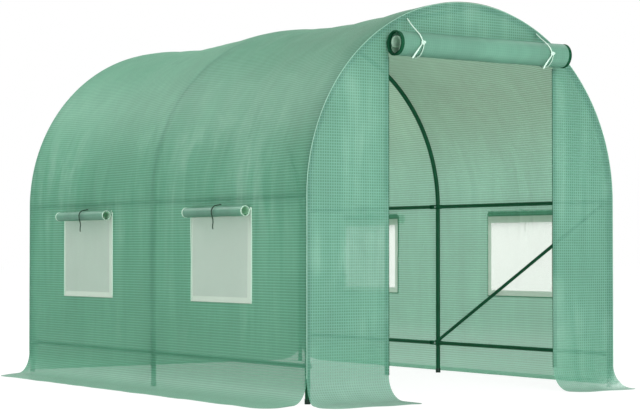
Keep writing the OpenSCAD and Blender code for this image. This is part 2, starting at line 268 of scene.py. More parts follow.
# %% [markdown]
# ## A surface from a grid of points
# Cloth is a function of two distances, one along the tunnel and one across the cloth.
# The function is worked out for a whole grid at once, and one helper turns any such grid
# into a mesh. It also stores the two distances as the UV map, in metres, so the woven
# pattern keeps its real size and follows the cloth. A grid may close on itself, to make
# a tube, and cells can be left out, to make a window.


# %% Grid helper
def lay_grid(name, points, u, v, finishes, keep=None, choose=None, tube=False):
    """A mesh with one face between each four neighbours of points[i, j].

    Faces point along (step in i) x (step in j). u and v are the cloth distances at the
    points, keep leaves cells out, choose picks a finish for each cell, and tube joins the
    last column to the first and closes both ends."""
    rows, columns = points.shape[:2]
    vertex = np.arange(rows * columns).reshape(rows, columns)
    if tube:
        vertex = np.hstack([vertex, vertex[:, :1]])
    spot = np.arange(vertex.size).reshape(vertex.shape)

    def corners(index):
        """The numbers at the four corners of each cell, in order round it."""
        around = [index[:-1, :-1], index[1:, :-1], index[1:, 1:], index[:-1, 1:]]
        return np.stack(around, axis=-1).reshape(-1, 4)

    quads, spots = corners(vertex), corners(spot)
    if keep is not None:
        quads, spots = quads[keep.reshape(-1)], spots[keep.reshape(-1)]
        if choose is not None:
            choose = choose.reshape(-1)[keep.reshape(-1)]
    used, quads = np.unique(quads, return_inverse=True)
    quads = quads.reshape(-1, 4)
    flat_u = np.broadcast_to(u, vertex.shape).reshape(-1)
    flat_v = np.broadcast_to(v, vertex.shape).reshape(-1)
    corner_uv = np.stack([flat_u[spots], flat_v[spots]], axis=-1).reshape(-1, 2)
    faces = quads.tolist()
    if tube:
        faces += [vertex[0, :-1][::-1].tolist(), vertex[-1, :-1].tolist()]
        corner_uv = np.vstack([corner_uv, np.zeros((2 * columns, 2))])
    mesh = bpy.data.meshes.new(name)
    mesh.from_pydata(points.reshape(-1, 3)[used].tolist(), [], faces)
    layer = mesh.uv_layers.new(name="cloth")
    layer.data.foreach_set("uv", corner_uv.astype(np.float32).ravel())
    for finish in finishes:
        mesh.materials.append(finish)
    if choose is not None:
        picked = np.asarray(choose, np.int32).reshape(-1)
        mesh.polygons.foreach_set("material_index", picked)
    mesh.shade_smooth()
    mesh.update()
    piece = bpy.data.objects.new(name, mesh)
    bpy.context.scene.collection.objects.link(piece)
    return piece


def place(piece, slot, *nodes):
    """Puts a piece on the frame: it rides on the one body and stands for these nodes."""
    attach(piece, "root")
    if nodes:
        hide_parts(*nodes)
    return piece


def stack(x, y, z):
    """Three arrays of coordinates as one array of points."""
    return np.stack(np.broadcast_arrays(x, y, z), axis=-1)


def spread(breaks, step):
    """Values from the first break to the last, about a step apart, that hit every break."""
    parts = [np.linspace(a, b, max(1, round((b - a) / step)) + 1)[:-1]
             for a, b in zip(breaks[:-1], breaks[1:])]
    return np.append(np.concatenate(parts), breaks[-1])


def ease(value, low, high):
    """0 below low, 1 above high, and a smooth step t t (3 - 2 t) between."""
    t = np.clip((value - low) / (high - low), 0, 1)
    return t * t * (3 - 2 * t)


# %% [markdown]
# ## The ties
# Two cords sewn above the doorway hold the rolled door: one strand comes down over the
# front of the roll, the other goes behind and under it, and they are knotted in front.
# Each window flap has a dark cord over its middle. They are limp cords of 6 mm, so
# their routes are chosen first. A twisted cord is a tube whose section has three round
# lobes that turn along it, which catches the light as the real strands do.

# %% Cord shapes
strand_count = 3
lobe_height = 0.12  # of the radius
cord_ring = 12  # points round a cord
fray_from, fray_full = 0.085, 0.03  # before the end: where fraying starts, where it's full


def smooth_route(points, step):
    """A Catmull-Rom curve through the points, cut into pieces about a step long."""
    points = np.array(points, float)
    before = np.vstack([2 * points[0] - points[1], points[:-2]])
    here, there = points[:-1], points[1:]
    after = np.vstack([points[2:], 2 * points[-1] - points[-2]])
    spans = []
    for p, q, r, s in zip(before, here, there, after):
        count = max(2, round(np.linalg.norm(r - q) / step))
        t = np.linspace(0, 1, count, endpoint=False)[:, None]
        spans.append(0.5 * (2 * q + (r - p) * t + (2 * p - 5 * q + 4 * r - s) * t ** 2
                            + (3 * q - p - 3 * r + s) * t ** 3))
    return np.vstack(spans + [points[-1:]])


def unit(vectors):
    """Vectors of length 1 with the same directions."""
    return vectors / np.linalg.norm(vectors, axis=-1, keepdims=True)


def round_cord(name, route, ahead, facing, radius, turn, gone, diameter, finish):
    """A tube: route + radius (cos turn side + sin turn up), where side and up stand
    square on the way ahead and side is square on facing as well."""
    side = unit(np.cross(ahead, facing))
    up = np.cross(side, ahead)
    points = (route[:, None, :] + (radius * np.cos(turn))[..., None] * side[:, None, :]
              + (radius * np.sin(turn))[..., None] * up[:, None, :])
    around = np.linspace(0, math.pi * diameter, cord_ring + 1)[None, :]
    return lay_grid(name, points, gone[:, None], around, [finish], tube=True)


cord_turn = np.linspace(0, 2 * math.pi, cord_ring, endpoint=False)[None, :]


def twisted_cord(name, route, diameter, finish, facing, twist=9.0, fray=0.0):
    """A tube round the route whose radius is r (0.98 + 0.12 cos(3 (angle - twist))), with
    one twist in so many diameters. Its last few centimetres are thicker by fray."""
    gone = np.append(0, np.cumsum(np.linalg.norm(np.diff(route, axis=0), axis=1)))
    twisted = gone[:, None] / diameter * 2 * math.pi / twist
    lobe = np.cos(strand_count * (cord_turn - twisted))
    radius = diameter / 2 * (0.98 + lobe_height * lobe)
    frayed = ease(gone, gone[-1] - fray_from, gone[-1] - fray_full)
    radius = radius * (1 + fray * frayed)[:, None]
    shrink = np.minimum(gone, gone[-1] - gone) / (diameter / 2)
    radius = radius * np.sqrt(np.clip(shrink, 0.1, 1))[:, None]
    ahead = unit(np.gradient(route, axis=0))
    return round_cord(name, route, ahead, facing, radius, cord_turn, gone, diameter, finish)


# %% Cord finish
def cord_finish(name, colour, shade):
    """Soft fibres: fine lengthwise streaks on the cord's own UV map, with a fuzzy bump."""
    material, tree = new_finish(name)
    stretched = node(tree, "ShaderNodeMapping",
                     {"Vector": cloth_map(tree), "Scale": (400, 2600, 1)}).outputs[0]
    fibres = noise(tree, stretched, 1.0, 3.0)
    output(tree, face_shader(tree, mixed_colour(tree, fibres, shade, colour), 0.8,
                             Normal=bumped(tree, fibres, 0.5, 0.0005)))
    return material


white_cord = cord_finish("white_cord", (0.68, 0.87, 0.76), (0.54, 0.74, 0.62))
# painted shade: a darker copy of the white cord, for the strands that pass behind the roll
shaded_cord = cord_finish("shaded_cord", (0.46, 0.64, 0.53), (0.34, 0.54, 0.43))
green_cord = cord_finish("green_cord", (0.012, 0.05, 0.025), (0.006, 0.025, 0.012))

# %% Routes of the door ties
# Each point is [across, out from the front sheet, above the doorway's top], in metres.
tie_d = 0.006
door_routes = {
    "left_front": [
        [-.398, .004, .136], [-.408, .057, .095], [-.410, .110, .054], [-.409, .122, .043],
        [-.407, .130, .030], [-.405, .136, .017], [-.405, .139, .005],
        [-.411, .139, -.009], [-.422, .137, -.024], [-.435, .135, -.041],
        [-.448, .133, -.059], [-.462, .131, -.078]],
    "left_back": [
        [-.398, .0035, .062], [-.397, .0035, .030], [-.396, .0035, 0], [-.396, .005, -.017],
        [-.396, .015, -.039], [-.396, .036, -.059], [-.396, .070, -.069],
        [-.396, .104, -.059], [-.396, .125, -.039], [-.395, .135, -.017],
        [-.394, .1375, 0], [-.394, .136, .014]],
    "right_front": [
        [.452, .004, .1145], [.438, .055, .086], [.429, .104, .0585], [.429, .113, .052],
        [.432, .123, .0415], [.436, .1305, .030], [.440, .136, .015], [.443, .139, 0],
        [.438, .139, -.014], [.427, .137, -.029], [.414, .135, -.046],
        [.401, .133, -.064], [.390, .131, -.082]],
    "right_back": [
        [.452, .0035, .060], [.452, .0035, .030], [.452, .0035, 0], [.452, .005, -.017],
        [.452, .015, -.039], [.452, .036, -.059], [.452, .070, -.069],
        [.452, .104, -.059], [.452, .125, -.039], [.452, .135, -.017],
        [.452, .1375, -.003], [.452, .136, .011]],
}


def knot(name, centre, size, diameter, finish):
    """A trefoil: x = sin t + 2 sin 2t, y = cos t - 2 cos 2t, z = -sin 3t, pulled tight."""
    t = np.linspace(0, 2 * math.pi, 72)
    shape = stack(np.sin(t) + 2 * np.sin(2 * t), -np.sin(3 * t),
                  np.cos(t) - 2 * np.cos(2 * t))
    route = np.array(centre) + shape * size
    ahead = np.gradient(route, axis=0)
    ahead[[0, -1]] = route[1] - route[-2]  # the route closes on itself
    return round_cord(name, route, unit(ahead), route - np.array(centre), diameter / 2,
                      cord_turn, np.linspace(0, 20 * size, len(t)), diameter, finish)


route_step = 0.0015


def hang_tie(name, slot, points, finish, facing, fray=0.0):
    """A tie on a smooth curve through the points."""
    route = smooth_route(points, route_step)
    tie = twisted_cord(name + "_cord", route, tie_d, finish, facing, fray=fray)
    place(tie, slot, name)


# %% Door ties
knot_scale = 0.0036
knot_out = 0.003  # the knot sits this far before the strands
knot_tight = 0.85  # how thick the cord is where it's pulled tight, as a share
for side in ("left", "right"):
    meet = (np.array(door_routes[side + "_front"][-6])
            + np.array(door_routes[side + "_back"][-2])) / 2
    knot_place = (meet[0], -half_length - meet[1] - knot_out, door_top + meet[2])
    tied = knot("door_knot_" + side, knot_place, knot_scale, tie_d * knot_tight, white_cord)
    place(tied, "door_tie")
    for strand, finish, far_end, fray, pieces in (
            ("front", white_cord, "bare", 0.4, [tied]), ("back", shaded_cord, "knot", 0, [])):
        x, out, up = np.array(door_routes[side + "_" + strand]).T
        hang_tie("door_tie_%s_%s" % (side, strand), "door_tie",
                 stack(x, -half_length - out, door_top + up), finish, (1.0, 0.0, 0.12),
                 fray)

# %% Routes of the window ties
# Each point is [out from the wall, along from where it is sewn on, above the flap's axis].
window_route = [
    [.003, 0, .036], [.014, 0, .036], [.031, 0, .033], [.045, 0, .030], [.056, 0, .021],
    [.063, 0, .009], [.064, 0, -.006], [.060, .001, -.022], [.055, .003, -.036],
    [.051, .006, -.050], [.051, .008, -.064], [.053, .007, -.078], [.052, .004, -.091]]
window_width = 0.58
screen_low, screen_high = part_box("right_window_screens")
window_low, window_high = screen_low.z, screen_high.z
window_y = (screen_high.y - screen_low.y - window_width) / 2
window_shift = -(screen_high.y + screen_low.y) / 2  # right ones forwards, left ones back
flap_low, flap_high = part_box("right_window_flaps")
flap_x = (flap_low.x + flap_high.x) / 2
flap_z = (flap_low.z + flap_high.z) / 2
flap_r = (flap_high.z - flap_low.z) / 2
sides = {"left": -1, "right": 1}
ends = {"front": -1, "rear": 1}


def window_middle(side, end):
    """Where a window's middle is along the tunnel."""
    return end * window_y - side * window_shift


# %% Window ties
for side_name, side in sides.items():
    for end_name, end in ends.items():
        out, along, up = np.array(window_route).T
        hang_tie("window_tie_%s_%s" % (side_name, end_name), "window_tie",
                 stack(side * (half_width + out), end * window_y + along, flap_z + up),
                 green_cord, (0.0, 1.0, 0.0))

# %% [markdown]
# ## The woven sheet
# The cover is half-clear green polyethylene with thick threads every 14 mm both ways.
# Between the threads one sees through it a little; the threads are paler and denser.
# Some light is scattered back, some glows through, and a share goes straight on, tinted
# green. So the finish mixes a soft face, a translucent back and a tinted transparent
# share, and the thread grid changes that share, the colour and the bump.

# %% Thread pattern
thread_pitch = 0.014
thread_width = 0.0048
tape_size = 0.0024  # the flat strands that the sheet is woven from


def thread_lines(tree, distance, pitch, width):
    """1 on the threads, 0 between: how far the nearest multiple of pitch is, stepped down."""
    away = sum_of(tree, "PINGPONG", distance, pitch / 2)
    return fade(tree, away, width * 0.3, width * 0.62)


# %% [markdown]
# ## The finish of the sheet
# Pale patches of painted sheen lie on the cloth, most of them above the left shoulder
# rail, and near the ground the cloth is painted paler and even, as painted light, and lets
# more through. On the walls and roof the threads along the tunnel are the thicker ones.
# The roof lets less be seen and gives a warmer light, as does the doubled hem at the rear.
# The roof is painted paler towards the rear, and as painted light and shade the slope
# behind the middle arch is paler and the one in front of it darker. All of this follows
# the distances u along and v across, in metres.

# %% Cloth finish
# colours of painted light: the pale patches of painted sheen, and the paler cloth near the
# ground
sheen_colour = (0.36, 0.60, 0.48)
ground_light_colour = (0.12, 0.42, 0.27)
sky_colour = (0.78, 0.92, 0.84)
warm_light = (1.26, 0.90, 0.90)


def cloth_finish(name, cell, thread, clear_cell, clear_thread, tint,
                 pitch=thread_pitch, width=thread_width, glow=0.45, blotch=0.12,
                 relief=0.0007, roughness=0.42, painted_sheen=0.0, ribs=0.0,
                 shine=0.5, lit=0.14, ground_light_and_clear=0.0):
    """Woven sheet seen by its grid: cells and threads with their own colour and clearness.

    glow is the share of light that's scattered through, lit how pale that light is,
    blotch the unevenness, painted_sheen the share of pale patches of painted sheen, and
    ground_light_and_clear the share of painted light near the ground, where the colour turns
    paler and even and the cloth lets more through. ribs is the shade between the threads
    along the tunnel."""
    material, tree = new_finish(name)
    uv = cloth_map(tree)
    u, v = parts_of(tree, uv)[:2]
    across = thread_lines(tree, u, pitch, width)
    along = thread_lines(tree, v, pitch, width)
    grid = sum_of(tree, "MAXIMUM", along, product(tree, across, 0.5 if ribs else 1.0))
    place_on = object_place(tree)
    low = fade(tree, parts_of(tree, place_on)[2], 0.16, 0.34)
    cloud = noise(tree, place_on, 1.7, 4.0, Roughness=0.55)
    upright = node(tree, "ShaderNodeMapping", {"Vector": place_on, "Scale": (12.0, 12.0, 1.3)})
    streak = noise(tree, upright.outputs[0], 1.0, 3.0, Distortion=0.6)
    patchy = sum_of(tree, "ADD", product(tree, cloud, 0.6), product(tree, streak, 0.4))
    light = ramp(tree, patchy, 0.3, 0.7, 1 - blotch, 1 + blotch)
    # painted sheen: pale patches where the streaks and the clouds are strong
    sheen_patches = product(tree, ramp(tree, streak, 0.40, 0.76), ramp(tree, cloud, 0.45, 0.60))
    if ribs:
        from_ridge = sum_of(tree, "ABSOLUTE", v)
        roof = fade(tree, from_ridge, 0.9, 1.6)
        between = product(tree, sum_of(tree, "SUBTRACT", 1.0, along), ribs)
        # painted light: the roof is paler towards the rear
        light = sum_of(tree, "ADD", light, product(tree, roof, product(tree, u, 0.085)))
        light = sum_of(tree, "SUBTRACT", light, between)
        sheen_patches = product(tree, sheen_patches, ramp(tree, from_ridge, 1.05, 1.46, 0.1, 1.0),
                         ramp(tree, from_ridge, 1.56, 1.8, 1.0, 0.25),
                         ramp(tree, v, -0.9, 0.2, 1.0, 0.15))
    colour = scaled_colour(tree, mixed_colour(tree, grid, cell, thread), light)
    # painted sheen: pale patches mixed into the colour
    colour = mixed_colour(tree, product(tree, sheen_patches, painted_sheen), colour, sheen_colour)
    # painted light: near the ground the colour turns paler and even
    colour = mixed_colour(tree, product(tree, low, ground_light_and_clear), colour, ground_light_colour)
    through = mixed_colour(tree, lit, colour, sky_colour)
    share = ramp(tree, grid, at_low=clear_cell, at_high=clear_thread)
    thinned = sum_of(tree, "ADD", 1.0, product(tree, low, ground_light_and_clear * 1.4))
    share = product(tree, share, thinned)
    if ribs:
        # painted light and shade: the slope behind the middle arch is paler and the one in
        # front of it darker
        step = ramp(tree, u, -0.012, 0.012, -1.0, 0.6)
        near = ramp(tree, sum_of(tree, "ABSOLUTE", u), 0.03, 0.6, 0.18, 0.0)
        slope = ramp(tree, from_ridge, 0.85, 1.35, 1.0, 0.0)
        bright = sum_of(tree, "SUBTRACT", 1.17, product(tree, between, 20.0))
        bright = sum_of(tree, "ADD", bright, product(tree, step, near, slope))
        warm = mixed_colour(tree, roof, (1, 1, 1), warm_light)
        through = scaled_colour(tree, through, scaled_colour(tree, warm, bright))
        closed = sum_of(tree, "SUBTRACT", 1.0, product(tree, roof, 0.75))
        share = product(tree, share, closed, ramp(tree, u, 1.36, 1.42, 1.0, 0.3))
    weave = node(tree, "ShaderNodeTexChecker", {"Vector": uv, "Scale": 1 / tape_size})
    height = sum_of(tree, "ADD", grid, product(tree, weave.outputs[1], 0.12))
    bump = bumped(tree, height, 0.6, relief)
    face = face_shader(tree, colour, roughness, Normal=bump,
                       **{"Specular IOR Level": shine})
    back = node(tree, "ShaderNodeBsdfTranslucent", {"Color": through, "Normal": bump})
    body = mixed_shader(tree, glow, face, back.outputs[0])
    clear = node(tree, "ShaderNodeBsdfTransparent", {"Color": opaque(tint)})
    output(tree, mixed_shader(tree, share, body, clear.outputs[0]))
    return material


# %% Cloths of the cover
leaf_tint = (0.95, 1.0, 0.96)
cover_cloth = cloth_finish("cover_cloth", (0.096, 0.296, 0.193), (0.174, 0.418, 0.319),
                           0.17, 0.06, leaf_tint, blotch=0.13, glow=0.36, painted_sheen=0.42,
                           ground_light_and_clear=0.32)
side_cloth = cloth_finish("side_cloth", (0.116, 0.380, 0.236), (0.141, 0.426, 0.289),
                          0.11, 0.04, leaf_tint, blotch=0.14, glow=0.40, painted_sheen=0.68,
                          ribs=0.019, shine=0.15, lit=0.22, ground_light_and_clear=0.55)
hem_cloth = cloth_finish("hem_cloth", (0.16, 0.31, 0.23), (0.22, 0.39, 0.30),
                         0.04, 0.02, leaf_tint, glow=0.2)

# %% [markdown]
# ## The shape of the cover
# Across the tunnel the cover is a half circle, a straight wall, a quarter circle that
# turns outwards and a flat skirt on the ground. Between the hoops nothing holds it up,
# so it hangs in, most on the slopes of the roof. At the ridge a rail carries it, and the
# walls are drawn tight by the skirt.


# %% Section across the tunnel
def down_and_out(below):
    """Down a wall and out onto the ground, by the distance below the wall's foot: straight
    above it, a quarter circle of radius flare_r, then flat. Returns the distance out from
    the wall, the height, and the outward normal's share out and up."""
    bend = np.clip(below / flare_r, 0, math.pi / 2)
    out = flare_r * (1 - np.cos(bend)) + np.clip(below - bend_length, 0, None)
    height = foot - np.clip(below, None, 0) - flare_r * np.sin(bend)
    return out, height, np.cos(bend), np.sin(bend)


def section(around):
    """The cover's section by the distance from the ridge, negative on the left: a half
    circle, then down_and_out. Returns x, z and the outward normal's x and z."""
    side = np.where(around < 0, -1.0, 1.0)
    turn = np.clip(np.abs(around) / half_width, 0, math.pi / 2)
    below = np.clip(np.abs(around) - arch_length - wall_drop, -wall_drop, None)
    out, height, lean_out, lean_up = down_and_out(below)
    x = side * (half_width * np.sin(turn) + out)
    return (x, height + half_width * np.cos(turn), side * np.sin(turn) * lean_out,
            np.cos(turn) + lean_up)


# %% Sag and wrinkles
roof_sag, ridge_sag, wall_sag = 0.029, 0.033, 0.007
ridge_lift = 0.004  # the cover's own thickness and seams over the arches
cloth_gap = 0.002  # keeps the cloth off the steel
rail_rest = shoulder + half_width - ridge_rail_top - cloth_gap  # depth on the ridge rail
rail_half = 0.01  # the cloth lies on the rail this far to each side
rail_slope = 0.16  # how steeply it may fall away beside the rail
rail_round = 0.003  # how softly it turns from the rail into the bay
near_ridge = (0.05, 0.42)  # from the ridge, where the slope's sag takes over
near_shoulder = (1.05, 1.55)  # from the ridge, where the wall's sag takes over


def ripples(u, v, seed, count, shortest, longest, stretch):
    """The sum of seeded waves sin(a u + b v + c), shortest to longest long across u and
    stretch times as long along v, scaled to a height of about 1."""
    rng = np.random.default_rng(seed)
    total = 0.0
    for _ in range(count):
        wave = rng.uniform(shortest, longest)
        a = rng.choice([-1, 1]) * 2 * math.pi / wave
        b = rng.uniform(-1, 1) * 2 * math.pi / (wave * stretch)
        total = total + np.sin(a * u + b * v + rng.uniform(0, 2 * math.pi))
    return total / math.sqrt(count)


def folds(u, v, creases):
    """Soft ridges from (u0, v0) to (u1, v1): height exp(-(distance / width)^2), fading
    out at both ends."""
    total = 0.0
    for u0, v0, u1, v1, width, height in creases:
        du, dv = u1 - u0, v1 - v0
        length = math.hypot(du, dv)
        share = ((u - u0) * du + (v - v0) * dv) / length ** 2
        apart = ((u - u0) * dv - (v - v0) * du) / length
        ends_fade = np.sin(math.pi * np.clip(share, 0, 1))
        total = total + height * np.exp(-(apart / width) ** 2) * ends_fade
    return total


def bay(along, lean=0.0, power=1.6):
    """0 at the hoops and 1 midway: (4 t (1 - t)) to a power, t from one hoop to the next.
    A lean moves the deepest places of both bays towards the rear."""
    t = np.clip(np.abs(along) / hoop_y, 0, 1)
    t = t ** np.where(along < 0, 1 - lean, 1 + lean)
    return (4 * t * (1 - t)) ** power


def hoop_fade(along):
    """0 at the hoops and 1 a hand's width away from them."""
    gap = np.minimum(np.abs(along), np.abs(np.abs(along) - hoop_y))
    return ease(gap, 0.01, 0.16)


def height_down(z):
    """Distance from the ridge of a height on the wall."""
    return arch_length + shoulder - z


side_creases = [
    # along and around of both ends, width, height; around is negative on the left wall
    (-0.42, -1.50, -0.36, -2.25, 0.022, 0.0030),
    (-0.30, -1.45, -0.44, -2.00, 0.018, -0.0022),
    (-0.60, -1.38, -0.52, -1.66, 0.020, 0.0026),
    (-0.90, -1.36, -1.02, -1.72, 0.024, 0.0026),
    (-1.12, -1.20, -1.20, -1.75, 0.022, -0.0020),
    (-0.46, -2.08, -0.34, -2.42, 0.020, 0.0028),
    (-1.00, -2.10, -0.90, -2.40, 0.020, 0.0022),
    (-0.08, -1.30, -0.22, -2.10, 0.026, 0.0024),
    (0.18, -1.40, 0.34, -1.90, 0.022, 0.0026),
    (0.55, -1.30, 0.60, -1.62, 0.022, 0.0028),
    (0.72, -1.25, 0.70, -1.64, 0.020, -0.0022),
    (1.05, -1.35, 1.14, -2.10, 0.024, 0.0028),
    (1.26, -1.60, 1.20, -2.30, 0.022, 0.0022),
    (0.40, -2.10, 0.30, -2.42, 0.020, 0.0026),
    (1.00, -2.08, 1.06, -2.40, 0.020, 0.0022),
]


def cover_depth(around, along):
    """How far the cover lies inside its plain section: the sag of the bays, broad seeded
    swells, thin upright creases in patches, gathers where the cover leans on the rail at
    the shoulder, and listed folds by the windows. At the ridge it lies on the rail
    and falls away to both sides: the smooth lesser of the depth a and the line b is
    (a + b - sqrt((a - b)^2 + rail_round^2)) / 2."""
    gone = np.abs(around)
    slope = ease(gone, *near_ridge) * (1 - ease(gone, *near_shoulder))
    ridge = 1 - ease(gone, *near_ridge)
    wall = ease(gone, *near_shoulder) * (1 - ease(gone, 2.2, arch_length + wall_drop))
    sag = bay(along) * (roof_sag * slope + wall_sag * wall)
    sag = sag + (ridge_sag * bay(along, 0.15, 1.8) - ridge_lift) * ridge
    calm = hoop_fade(along) * (1 - ease(gone, 2.3, arch_length + wall_drop))
    broad = ripples(along, around, 3, 9, 0.25, 0.7, 2.2) * 0.0019
    patches = ease(ripples(along, around, 8, 6, 0.6, 1.2, 1.0), 0.0, 1.0)
    thin = ripples(along, around, 5, 12, 0.06, 0.14, 8.0) * 0.0009 * patches
    near_rail = ease(gone, 1.15, 1.45) * (1 - ease(gone, 1.56, 1.85))
    gathers = ripples(along, around, 13, 14, 0.05, 0.12, 12.0) * 0.0024 * near_rail
    placed = folds(along, around, side_creases) + folds(-along, -around, side_creases)
    depth = sag + calm * (broad + thin + gathers * (0.35 + 0.65 * patches) - 1.3 * placed)
    on_rail = rail_rest + rail_slope * np.clip(gone - rail_half, 0, None)
    return (depth + on_rail - np.sqrt((depth - on_rail) ** 2 + rail_round ** 2)) / 2


def ground_lift(out, along, seed):
    """The skirt lies in shallow waves on the ground: 0 at the wall, up to 3 mm outside."""
    wave = ripples(along, out, seed, 7, 0.18, 0.5, 1.5)
    return ease(out, 0.05, 0.25) * 0.0010 * (1 + np.clip(wave, -1, 1.6))


def on_cover(around, along, lift=0.0):
    """Points on the cover, that far above its outer face."""
    x, z, out_x, out_z = section(around)
    gone = np.abs(x) - half_width
    rise = ground_lift(np.clip(gone, 0, None), along, 21) * (gone > 0)
    push = lift - cover_depth(around, along) + rise
    return stack(x + out_x * push, along, z + out_z * push)


print("deepest sag %.3f" % cover_depth(np.array(-0.7), np.array(-hoop_y / 2)))

# %% [markdown]
# ## Cutting the skirts
# A skirt's ends aren't square: they slant out or back from the corner of the tunnel, and
# the outer corners are cut round. Each row of the grid is stretched between the two end
# lines, so the mesh follows the cut and still has only four-sided faces.


# %% End lines of a skirt
skirt_corner = 0.08


def end_line(out, reach, spread_out):
    """How far a skirt runs past the wall's end, at a distance out from the wall: a slant
    that reaches spread_out at the outer edge, rounded there by a circle."""
    slant = math.hypot(reach, spread_out)
    cut = skirt_corner / math.tan(math.acos(spread_out / slant) / 2)
    starts = reach - reach / slant * cut
    inside = np.clip(skirt_corner ** 2 - (out - reach + skirt_corner) ** 2, 0, None)
    rounded = spread_out - cut + np.sqrt(inside)
    return np.where(out < starts, spread_out * out / reach, rounded)


def skirt_rows(reach, step):
    """Distances below the wall's foot down to the skirt's outer edge, closer at its corner."""
    flat = bend_length + reach - flare_r
    turn = np.linspace(0, math.pi / 2, 9)
    return np.concatenate([spread([0, bend_length, flat - skirt_corner], step)[:-1],
                           flat - skirt_corner + skirt_corner * np.sin(turn)])


side_reach = {"left": -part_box("left_skirt")[0].x - half_width,
              "right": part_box("right_skirt")[1].x - half_width}
side_spread = {"left": (0.17, -0.30), "right": (-0.30, -0.30)}  # at the front, at the rear

# %% Lines of the cover's grid
cell = 0.0165  # size of the cloth's mesh
window_edges = [window_middle(side, end) + half for side in (-1, 1) for end in (-1, 1)
                for half in (-window_width / 2, window_width / 2)]
along_line = spread(sorted([-half_length, 0.0, half_length] + window_edges), cell)
wall_line = spread([arch_length, height_down(window_high), height_down(window_low),
                    arch_length + wall_drop], cell)
roof_line = spread([-arch_length, 0, arch_length], cell)
left_line = arch_length + wall_drop + skirt_rows(side_reach["left"], cell)
right_line = arch_length + wall_drop + skirt_rows(side_reach["right"], cell)
around_line = np.concatenate([-left_line[::-1], -wall_line[::-1][1:], roof_line[1:-1],
                              wall_line[:-1], right_line])
print("grid %d by %d" % (len(around_line), len(along_line)))

# %% Places along, stretched to the skirts' ends
around_grid = around_line[:, None]
x_line = section(around_grid)[0]
out_line = np.clip(np.abs(x_line) - half_width, 0, None)
ends_at = []
for end in (0, 1):
    left = end_line(out_line, side_reach["left"], side_spread["left"][end])
    right = end_line(out_line, side_reach["right"], side_spread["right"][end])
    ends_at.append(half_length + np.where(around_grid < 0, left, right))
share = (along_line[None, :] + half_length) / (2 * half_length)
along_grid = -ends_at[0] * (1 - share) + ends_at[1] * share
print("skirt ends from %.2f to %.2f" % (along_grid.min(), along_grid.max()))

# %% Window holes and hems
mid_along = (along_line[1:] + along_line[:-1]) / 2
mid_around = (around_line[1:] + around_line[:-1]) / 2
hole = np.zeros((len(mid_around), len(mid_along)), bool)
for side in (-1, 1):
    down = side * mid_around
    in_height = (down > height_down(window_high)) & (down < height_down(window_low))
    for end in (-1, 1):
        in_length = np.abs(mid_along - window_middle(side, end)) < window_width / 2
        hole |= in_height[:, None] & in_length[None, :]
skirt_cells = np.abs(mid_around) > arch_length + wall_drop + bend_length
hem = np.zeros(hole.shape, int)
hem[[0, -1], :] = 1
hem[skirt_cells, 0] = hem[skirt_cells, -1] = 1
print("cells left out for windows:", hole.sum())

# %% The cover in one piece
around_all = np.broadcast_to(around_grid, along_grid.shape)
cover = lay_grid("tunnel_cover", on_cover(around_all, along_grid).transpose(1, 0, 2),
                 along_grid.T, around_all.T, [side_cloth, hem_cloth], keep=~hole.T,
                 choose=hem.T)
place(cover, "cover_sheet", "left_wall_sheet", "right_wall_sheet", "left_skirt",
      "right_skirt", "roof_left_low", "roof_left_mid", "roof_left_top",
      "roof_right_top", "roof_right_mid", "roof_right_low")

# %% [markdown]
# ## The end sheets
# Each end is one flat cut, sewn to the cover round the arch, with its own skirt. It is
# pulled by the arch and the ground, so it only swells a little and shows a few soft
# folds that run from the corners. The grid's columns are spaced by the angle round the
# arch, so the round edge is even, and each column reaches from the wall's foot to the
# arch. The front has a doorway: two panels beside it and one above.


# %% Swell of the end sheets
front_creases = [
    # across and height of both ends, width, height
    (-0.92, 0.42, -0.62, 0.95, 0.030, 0.0040),
    (-0.80, 0.86, -0.58, 0.62, 0.020, 0.0032),
    (-0.72, 1.02, -0.60, 0.55, 0.016, -0.0030),
    (-0.88, 1.22, -0.60, 1.02, 0.024, 0.0030),
    (-0.86, 0.30, -0.66, 0.38, 0.030, 0.0030),
    (0.60, 1.18, 0.84, 0.98, 0.024, 0.0036),
    (0.62, 0.84, 0.90, 0.60, 0.028, 0.0036),
    (0.66, 0.42, 0.92, 0.62, 0.022, -0.0030),
    (0.58, 1.45, 0.80, 1.30, 0.024, 0.0026),
]


def end_swell(x, z, seed, creases):
    """How far an end sheet stands out from flat: broad seeded swells and placed folds,
    fading to nothing at its sewn edge, at the doorway's edge and near the ground."""
    rim = half_width - np.where(z > shoulder, np.hypot(x, z - shoulder), np.abs(x))
    calm = ease(rim, 0.0, 0.18) * ease(z, foot, foot + 0.25)
    if creases:
        beside = np.maximum(door_left - x, x - door_right)  # negative over the doorway
        calm = calm * (0.25 + 0.75 * ease(np.abs(beside), 0.0, 0.12))
        calm = calm * (0.15 + 0.85 * (beside >= 0))
    broad = ripples(x, z, seed, 8, 0.22, 0.6, 1.8) * 0.0030
    return calm * (broad + folds(x, z, creases))


